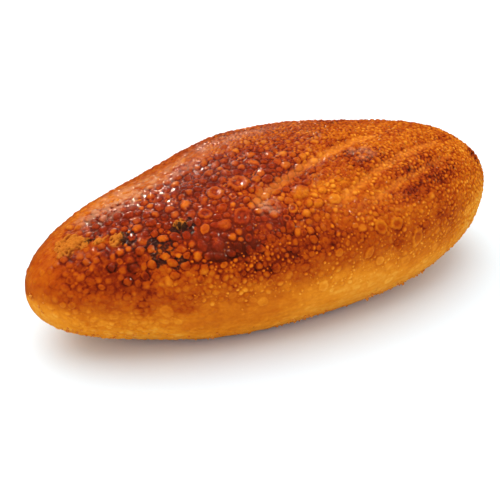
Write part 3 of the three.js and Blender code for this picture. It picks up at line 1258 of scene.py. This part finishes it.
@dataclass(frozen=True)
class CrustFinish:
    """The glossy, blistered crust."""

    amber_glow: Colour = (0.76, 0.17, 0.003)
    bead_gold: Colour = (0.84, 0.32, 0.030)
    mahogany: Colour = (0.44, 0.030, 0.001)
    burnt: Colour = (0.022, 0.009, 0.006)
    ochre: Colour = (0.56, 0.17, 0.016)
    ochre_dark: Colour = (0.22, 0.040, 0.004)
    fold_tan: Colour = (0.80, 0.27, 0.035)
    dusty: Colour = (0.66, 0.33, 0.17)
    flour: Colour = (0.80, 0.62, 0.42)
    sheet_brown: Colour = (0.42, 0.17, 0.045)
    subsurface: float = 0.06
    subsurface_scale: float = 0.0005
    coat_roughness: float = 0.05
    coat_ior: float = 1.5
    shine: float = 0.04
    bump_distance: float = 0.00012
    subsurface_reach: Colour = (1.0, 0.35, 0.10)
    mottle: float = 0.27
    mottle_scale: float = 720.0
    glow_shift: float = -0.28
    fold_share: float = 0.27
    pit_scale: float = 1500.0
    pits: float = 0.5
    pebble_scale: float = 950.0
    pebble_waver: float = 0.0006
    pebble_height: float = 2.4
    pebble_tone: float = 0.22
    pebble_gap: float = 0.16

    def build(self, shared: SharedEffects) -> bpy.types.Material:
        """Make the material.

        Args:
            shared: the effects shared with the crumbs.

        Returns:
            The crust material.
        """
        material, graph, shader = new_material("blistered_crust")
        masks = {name: graph.mask(name) for name in CrustPaint.__dataclass_fields__}
        pebbles = graph.node("ShaderNodeGroup", {"node_tree": shared.pebbles},
                             Scale=self.pebble_scale, Waver=self.pebble_waver)
        self._colour(graph, shader, shared, masks, pebbles)
        self._gloss(graph, shader, masks)
        self._relief(graph, shader, shared, masks, pebbles)
        shader.inputs["Subsurface Weight"].default_value = self.subsurface
        shader.inputs["Subsurface Radius"].default_value = self.subsurface_reach
        shader.inputs["Subsurface Scale"].default_value = self.subsurface_scale
        shader.inputs["Coat Roughness"].default_value = self.coat_roughness
        shader.inputs["Coat IOR"].default_value = self.coat_ior
        shader.inputs["Specular IOR Level"].default_value = self.shine
        return material

    def _colour(self, graph: Graph, shader: bpy.types.Node, shared: SharedEffects,
                masks: dict[str, Socket], pebbles: bpy.types.Node) -> None:
        """Paint the base colour, with painted shade in the crevices, in the pebbles' gaps and in the flakes'
        cracks, and a painted sheen on the satin skin.
        """
        # Painted shade in the crevices, stronger on the caramel and weaker on the sides.
        darker = graph.math("MULTIPLY", masks["valley"], graph.ranged(masks["caramel"], 0.0, 1.0, 0.24, 0.60))
        darker = graph.math("MULTIPLY", darker, graph.ranged(masks["side"], 0.0, 1.0, 1.0, 0.2))
        toned = graph.math("MULTIPLY", masks["glow"], self.glow_shift)
        # Each pebble has its own random tone, and the gaps between the pebbles are painted with shade.
        own = graph.math("SUBTRACT", 0.5, pebbles.outputs["Tone"])
        own = graph.math("MULTIPLY", own, self.pebble_tone)
        gap = graph.math("MULTIPLY", pebbles.outputs["Gap"], self.pebble_gap)
        pebble_tone_and_shade = graph.math("ADD", own, gap)
        pebble_tone_and_shade = graph.math("MULTIPLY", pebble_tone_and_shade, masks["pebbles"])
        bake = graph.math("ADD", graph.math("ADD", masks["bake"], darker), toned)
        bake = graph.math("ADD", bake, pebble_tone_and_shade)
        baking = graph.node("ShaderNodeGroup", {"node_tree": shared.baking}, Bake=bake,
                            Mottle=self.mottle, Mottle_Scale=self.mottle_scale)
        colour = baking.outputs["Color"]
        red = graph.math("MULTIPLY", masks["caramel"], graph.ranged(bake, 0.4, 0.7, 0.0, 0.35))
        colour = graph.blend(red, colour, self.mahogany)
        pale = graph.ranged(masks["glow"], 0.1, 1.0, 0.0, 0.55)
        glow = graph.blend(graph.ranged(masks["bake"], 0.3, 0.6, 0.0, 1.0), self.bead_gold, self.amber_glow)
        colour = graph.blend(pale, colour, glow)
        # Painted sheen: the satin skin is painted in streaks towards a pale pinkish tan that stands in for a
        # softbox's sheen.
        cover = graph.ranged(graph.grain(420.0, 3.0), 0.36, 0.62, 0.0, 0.42)
        sheen_paint = graph.math("MULTIPLY", masks["satin"], cover)
        colour = graph.blend(sheen_paint, colour, self.dusty)
        tan = graph.math("MULTIPLY", masks["fold"], self.fold_share)
        colour = graph.blend(tan, colour, self.fold_tan)
        # The flakes are ochre on their ridges, with painted shade in the cracks between them.
        flake = graph.blend(graph.ranged(masks["shard"], 0.15, 0.75, 0.0, 1.0), self.ochre_dark, self.ochre)
        loose = graph.math("ADD", masks["torn"], graph.math("MULTIPLY", masks["shard"], 0.30))
        colour = graph.blend(graph.ranged(loose, 0.40, 0.85, 0.0, 0.92), colour, flake)
        soot = graph.math("ADD", masks["char"], graph.ranged(graph.grain(700.0), 0.3, 0.7, -0.35, 0.35))
        colour = graph.blend(graph.ranged(soot, 0.45, 0.95, 0.0, 0.90), colour, self.burnt)
        dusted = graph.blend(graph.ranged(graph.grain(260.0, 4.0), 0.52, 0.72, 0.0, 0.7),
                             self.sheet_brown, self.flour)
        colour = graph.blend(masks["sheet"], colour, dusted)
        graph.feed(shader.inputs["Base Color"], colour)

    def _gloss(self, graph: Graph, shader: bpy.types.Node, masks: dict[str, Socket]) -> None:
        """Set the roughness and the coat."""
        dry = graph.math("MAXIMUM", masks["torn"], masks["sheet"])
        smear = graph.ranged(graph.grain(180.0, 3.0), 0.35, 0.65, -0.05, 0.07)
        rough = graph.ranged(masks["bake"], 0.1, 0.7, 0.50, 0.34)
        rough = graph.math("ADD", rough, smear)
        rough = graph.math("SUBTRACT", rough, graph.math("MULTIPLY", masks["satin"], 0.10))
        rough = graph.math("ADD", rough, graph.math("MULTIPLY", masks["fold"], 0.06))
        rough = graph.math("ADD", rough, graph.math("MULTIPLY", dry, 0.45), clamp=True)
        graph.feed(shader.inputs["Roughness"], rough)
        wet = graph.ranged(masks["bake"], 0.15, 0.62, 0.10, 0.60)
        wet = graph.math("ADD", wet, graph.math("MULTIPLY", masks["caramel"], 0.40), clamp=True)
        wet = graph.math("MULTIPLY", wet, graph.ranged(masks["side"], 0.0, 1.0, 1.0, 0.25))
        coat = graph.math("MULTIPLY", wet, graph.ranged(dry, 0.0, 0.5, 1.0, 0.0))
        coat = graph.math("MULTIPLY", coat, graph.ranged(masks["char"], 0.3, 0.9, 1.0, 0.7))
        graph.feed(shader.inputs["Coat Weight"], coat)

    def _relief(self, graph: Graph, shader: bpy.types.Node, shared: SharedEffects,
                masks: dict[str, Socket], pebbles: bpy.types.Node) -> None:
        """Bump the skin finer than the mesh."""
        pitting = graph.node("ShaderNodeGroup", {"node_tree": shared.pitting},
                             Scale=self.pit_scale, Pits=self.pits)
        skin = graph.math("MULTIPLY", pitting.outputs["Height"],
                          graph.ranged(masks["side"], 0.0, 1.0, 1.0, 0.35))
        domes = graph.math("MULTIPLY", pebbles.outputs["Height"], masks["pebbles"])
        skin = graph.math("ADD", skin, graph.math("MULTIPLY", domes, self.pebble_height))
        bump = graph.node("ShaderNodeBump", Strength=0.8, Distance=self.bump_distance, Height=skin)
        graph.feed(shader.inputs["Normal"], bump.outputs["Normal"])


@dataclass(frozen=True)
class CrumbFinish:
    """The dry, toasted crumbs and flakes along the roll's foot."""

    bake_low: float = 0.02
    bake_high: float = 0.34
    roughness: float = 0.7
    mottle: float = 0.3
    mottle_scale: float = 2400.0
    pit_scale: float = 3200.0
    pits: float = 0.8
    bump_distance: float = 0.0001

    def build(self, shared: SharedEffects) -> bpy.types.Material:
        """Make the material.

        Args:
            shared: the effects shared with the crust.

        Returns:
            The crumb material.
        """
        material, graph, shader = new_material("toasted_crumb")
        bake = graph.ranged(graph.grain(420.0), 0.35, 0.65, self.bake_low, self.bake_high)
        baking = graph.node("ShaderNodeGroup", {"node_tree": shared.baking}, Bake=bake,
                            Mottle=self.mottle, Mottle_Scale=self.mottle_scale)
        graph.feed(shader.inputs["Base Color"], baking.outputs["Color"])
        pitting = graph.node("ShaderNodeGroup", {"node_tree": shared.pitting},
                             Scale=self.pit_scale, Pits=self.pits)
        bump = graph.node("ShaderNodeBump", Strength=0.7, Distance=self.bump_distance,
                          Height=pitting.outputs["Height"])
        graph.feed(shader.inputs["Normal"], bump.outputs["Normal"])
        shader.inputs["Roughness"].default_value = self.roughness
        return material


# ---------------------------------------------------------------------------------------------
# The pieces
# ---------------------------------------------------------------------------------------------


def mesh_object(name: str, place: np.ndarray, faces: np.ndarray) -> bpy.types.Object:
    """Make a smooth mesh object.

    Args:
        name: the object's name.
        place: its points in millimetres.
        faces: the corners of each face.

    Returns:
        The object, linked into the scene.
    """
    mesh = bpy.data.meshes.new(name)
    mesh.from_pydata((place * MM).tolist(), [], faces.tolist())
    mesh.update()
    mesh.shade_smooth()
    made = bpy.data.objects.new(name, mesh)
    bpy.context.scene.collection.objects.link(made)
    return made


@dataclass
class BlisteredCrust:
    """The whole outside of the roll as one closed mesh."""

    form: RollForm
    lattice: BoxLattice = BoxLattice()
    seed: int = 41
    name: str = "blistered_crust"
    sheet_u: float = 0.5
    sheet_v: float = 0.36
    sheet_margin: float = 0.97
    sheet_level: float = 0.63
    base_u: float = 0.94
    base_v: float = 0.30
    base_level: float = 0.125
    foot_angle: float = 150.0

    def build(self, finish: bpy.types.Material) -> bpy.types.Object:
        """Build and dress the crust.

        Args:
            finish: the crust material.

        Returns:
            The crust.
        """
        self.baker = Baker(self.form, self.lattice, self.seed)
        self.place, paint = self.baker.bake()
        piece = mesh_object(self.name, self.place, self.baker.surface.quads)
        for label, values in paint.items():
            layer = piece.data.attributes.new(label, "FLOAT", "POINT")
            layer.data.foreach_set("value", values.astype(np.float32))
        self._unfold(piece)
        piece.data.materials.append(finish)
        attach(piece, BODY)
        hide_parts(NODE)
        return piece

    def _unfold(self, piece: bpy.types.Object) -> None:
        """Lay the crust out flat: one sheet from the top down to the foot, and the flat beside it."""
        direction = self.baker.direction
        quads = self.baker.surface.quads
        fall = np.arccos(np.clip(direction[:, 2], -1.0, 1.0)) / math.radians(self.foot_angle)
        turn = np.arctan2(direction[:, 1], direction[:, 0])
        sheet = np.stack([0.5 + self.sheet_u * self.sheet_margin * fall * np.cos(turn),
                          self.sheet_level + self.sheet_v * self.sheet_margin * fall * np.sin(turn)], axis=1)
        span = self.form.size
        base = np.stack([0.5 + self.place[:, 0] / span[0] * self.base_u,
                         self.base_level + self.place[:, 1] / span[1] * self.base_v], axis=1)
        under = self.baker.crust.flat[quads].all(axis=1)
        corner = np.where(under[:, None, None], base[quads], sheet[quads])
        layer = piece.data.uv_layers.new(name="OFBake")
        layer.data.foreach_set("uv", corner.reshape(-1).astype(np.float32))


@dataclass(frozen=True)
class CrumbRow:
    """A stretch of the roll's foot or tip with crumbs baked onto it."""

    from_x: float
    to_x: float
    low_angle: float
    high_angle: float
    count: int
    largest: float


@dataclass
class FootCrumbs:
    """Small uneven crumbs stuck to the narrow tip and to the rim where the roll met the sheet."""

    crust: BlisteredCrust
    rows: tuple[CrumbRow, ...]
    seed: int = 77
    name: str = "foot_crumbs"
    smallest: float = 0.28
    skew: float = 2.2
    sunk: float = 0.25
    roughness: float = 0.28
    divisions: int = 4

    def build(self, finish: bpy.types.Material) -> bpy.types.Object:
        """Build and dress the crumbs.

        Args:
            finish: the crumb material.

        Returns:
            All the crumbs as one piece.
        """
        draw = np.random.default_rng(self.seed)
        points, quads = BoxLattice(self.divisions, self.divisions, self.divisions, 0.0).quads()
        ball = BoxLattice(crowding=0.0).directions(points)
        places, faces = [], []
        for row in self.rows:
            for _ in range(row.count):
                faces.append(quads + len(ball) * len(places))
                places.append(self._crumb(draw, row, ball))
        piece = mesh_object(self.name, np.concatenate(places), np.concatenate(faces))
        piece.data.materials.append(finish)
        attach(piece, BODY)
        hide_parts(NODE)
        return piece

    def _crumb(self, draw: np.random.Generator, row: CrumbRow, ball: np.ndarray) -> np.ndarray:
        """Shape one crumb and sink it a little into the crust.

        Args:
            draw: the source of chance.
            row: the stretch that it lies on.
            ball: the directions of its points.

        Returns:
            Its points in millimetres.
        """
        smooth = self.crust.baker.crust
        gap = np.abs(smooth.x - draw.uniform(row.from_x, row.to_x))
        gap += np.abs(smooth.angle - draw.uniform(row.low_angle, row.high_angle))
        point = int(np.argmin(gap))
        radius = lerp(self.smallest, row.largest, draw.random() ** self.skew) / 2.0
        lumps = DoughNoise(int(draw.integers(1000)))
        uneven = 1.0 + self.roughness * lumps.layered(ball + 3.0, 0.9, 2)
        turned, _ = np.linalg.qr(draw.normal(size=(3, 3)))
        sides = draw.uniform(0.6, 1.35, 3)
        shape = (ball * uneven[:, None] * sides) @ turned * radius
        normal = self.crust.baker.surface.normal[point]
        centre = self.crust.place[point] + normal * radius * (1.0 - 2.0 * self.sunk)
        place = centre + shape
        place[:, 2] = np.maximum(place[:, 2], 0.0)
        return place


# ---------------------------------------------------------------------------------------------
# Studio
# ---------------------------------------------------------------------------------------------


@dataclass(frozen=True)
class Softbox:
    """A square lamp that looks at the roll."""

    name: str
    azimuth: float
    elevation: float
    distance: float
    side: float
    power: float
    colour: Colour = (1.0, 0.86, 0.68)

    def build(self, target: np.ndarray) -> None:
        """Hang the lamp. It only makes the highlights, and the key lamp and the sky light the roll.

        Args:
            target: the point that it looks at, in metres.
        """
        data = bpy.data.lights.new(self.name, "AREA")
        data.size = self.side
        data.energy = self.power
        data.color = self.colour
        lamp = bpy.data.objects.new(self.name, data)
        lamp.visible_diffuse = False
        bpy.context.scene.collection.objects.link(lamp)
        turn_and_place(lamp, target, self.azimuth, self.elevation, self.distance)


def turn_and_place(thing: bpy.types.Object, target: np.ndarray, azimuth: float, elevation: float,
                   distance: float) -> None:
    """Put a lamp or camera round a target and turn it to look there.

    Args:
        thing: the lamp or camera.
        target: the point to look at, in metres.
        azimuth: 0 looks along +Y, and it grows towards looking along -X, in degrees.
        elevation: degrees above the horizon.
        distance: metres from the target.
    """
    turn, rise = math.radians(azimuth), math.radians(elevation)
    away = np.array([math.sin(turn) * math.cos(rise), -math.cos(turn) * math.cos(rise), math.sin(rise)])
    thing.location = target + away * distance
    thing.rotation_euler = (math.pi / 2.0 - rise, 0.0, turn)


@dataclass(frozen=True)
class Studio:
    """A white table under a soft light, and the camera."""

    floor_side: float = 6.0
    floor_colour: Colour = (0.77, 0.86, 0.91)
    floor_roughness: float = 0.8
    floor_shine: float = 0.1
    sky_colour: Colour = (1.0, 0.99, 0.98)
    sky: float = 1.0
    mirrored_sky: float = 0.015
    sun_power: float = 1.9
    sun_azimuth: float = -150.0
    sun_elevation: float = 75.0
    sun_spread: float = 75.0
    lens: float = 90.0
    sensor_width: float = 36.0
    camera_azimuth: float = -25.2
    camera_elevation: float = 34.06
    camera_distance: float = 0.4195
    look_at: tuple[float, float, float] = (-0.00308, 0.00145, 0.01356)
    softboxes: tuple[Softbox, ...] = (
        Softbox("softbox_back", 178.0, 36.0, 1.0, 0.07, 2.8),
        Softbox("softbox_left", -148.0, 56.0, 1.0, 0.055, 2.0),
        Softbox("softbox_right", 62.0, 60.0, 1.0, 0.045, 1.8),
    )

    def build(self) -> None:
        """Set up the floor, the lights, the sky and the camera."""
        self._lay_floor()
        self._light()
        self._paint_sky()
        self._aim_camera()

    def _lay_floor(self) -> None:
        """Lay a plain pale floor under the roll."""
        half = self.floor_side / 2.0 / MM
        corners = np.array([(-half, -half, 0.0), (half, -half, 0.0), (half, half, 0.0), (-half, half, 0.0)])
        floor = mesh_object("white_table", corners, np.array([[0, 1, 2, 3]]))
        material, _, shader = new_material("white_table")
        shader.inputs["Base Color"].default_value = (*self.floor_colour, 1.0)
        shader.inputs["Roughness"].default_value = self.floor_roughness
        shader.inputs["Specular IOR Level"].default_value = self.floor_shine
        floor.data.materials.append(material)
        floor.visible_glossy = False

    def _light(self) -> None:
        """Hang the sun-like key lamp and the softboxes."""
        target = np.array(self.look_at)
        data = bpy.data.lights.new("key_lamp", "SUN")
        data.energy = self.sun_power
        data.angle = math.radians(self.sun_spread)
        lamp = bpy.data.objects.new("key_lamp", data)
        lamp.visible_glossy = False
        bpy.context.scene.collection.objects.link(lamp)
        turn_and_place(lamp, target, self.sun_azimuth, self.sun_elevation, 1.0)
        for softbox in self.softboxes:
            softbox.build(target)

    def _paint_sky(self) -> None:
        """Fill the room with soft white light, dim in reflections, and plain white for the camera."""
        world = bpy.data.worlds.new("studio_room")
        world.use_nodes = True
        bpy.context.scene.world = world
        graph = Graph(world.node_tree)
        fill = graph.node("ShaderNodeBackground", Color=self.sky_colour, Strength=self.sky)
        mirrored = graph.node("ShaderNodeBackground", Color=self.sky_colour, Strength=self.mirrored_sky)
        seen = graph.node("ShaderNodeBackground", Color=(1.0, 1.0, 1.0), Strength=1.0)
        path = graph.node("ShaderNodeLightPath")
        lit = graph.node("ShaderNodeMixShader")
        graph.feed(lit.inputs[0], path.outputs["Is Glossy Ray"])
        graph.feed(lit.inputs[1], fill.outputs[0])
        graph.feed(lit.inputs[2], mirrored.outputs[0])
        mix = graph.node("ShaderNodeMixShader")
        graph.feed(mix.inputs[0], path.outputs["Is Camera Ray"])
        graph.feed(mix.inputs[1], lit.outputs[0])
        graph.feed(mix.inputs[2], seen.outputs[0])
        leave = graph.node("ShaderNodeOutputWorld")
        graph.feed(leave.inputs["Surface"], mix.outputs[0])

    def _aim_camera(self) -> None:
        """Place the camera and choose plain display colours."""
        data = bpy.data.cameras.new("camera")
        data.lens = self.lens
        data.sensor_width = self.sensor_width
        camera = bpy.data.objects.new("camera", data)
        bpy.context.scene.collection.objects.link(camera)
        turn_and_place(camera, np.array(self.look_at), self.camera_azimuth, self.camera_elevation,
                       self.camera_distance)
        bpy.context.scene.camera = camera
        bpy.context.scene.view_settings.view_transform = "Standard"


# ---------------------------------------------------------------------------------------------
# Making everything
# ---------------------------------------------------------------------------------------------


FOLDS = (
    Fold(-10.0, 38.0, 132.0, 95.0, 1.2, 4.0, 1.0),
    Fold(16.0, 60.0, 145.0, 113.0, 1.0, 3.4, 0.84),
    Fold(26.0, 62.0, 150.0, 133.0, 0.7, 3.0, 0.74),
)
CRUMBS = (
    CrumbRow(-72.0, 70.0, 206.0, 221.0, 90, 0.8),
    CrumbRow(24.0, 48.0, 207.0, 220.0, 46, 1.0),
    CrumbRow(-74.0, -52.0, 204.0, 224.0, 34, 1.1),
    CrumbRow(-40.0, 10.0, 210.0, 222.0, 44, 0.8),
    CrumbRow(-80.0, -77.5, 150.0, 200.0, 7, 1.0),
    CrumbRow(-66.0, 68.0, -40.0, -26.0, 90, 0.9),
    CrumbRow(-80.6, -80.2, 150.0, 175.0, 3, 1.5),
)
SWELLS = (
    Swell(-36.0, 50.0, 16.0, 20.0, -2.2),
    Swell(-5.0, 50.0, 11.0, 18.0, 0.9),
    Swell(44.0, 52.0, 20.0, 20.0, -2.3),
    Swell(-54.0, 214.0, 15.0, 12.0, -2.0),
    Swell(4.0, 214.0, 20.0, 12.0, -1.1),
    Swell(48.0, 214.0, 14.0, 12.0, 0.7),
)


def main() -> None:
    """Build the studio and the roll, and report each piece."""
    logging.basicConfig(level=logging.INFO, format="%(name)s: %(message)s")
    Studio().build()
    log.info("studio is set")
    low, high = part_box(NODE)
    form = RollForm(np.array(low) / MM, np.array(high) / MM, FOLDS, SWELLS)
    shared = SharedEffects()
    crust = BlisteredCrust(form)
    piece = crust.build(CrustFinish().build(shared))
    log.info("%s has %d faces", piece.name, len(piece.data.polygons))
    crumbs = FootCrumbs(crust, CRUMBS).build(CrumbFinish().build(shared))
    log.info("%s has %d faces", crumbs.name, len(crumbs.data.polygons))


if __name__ == "__main__":
    main()
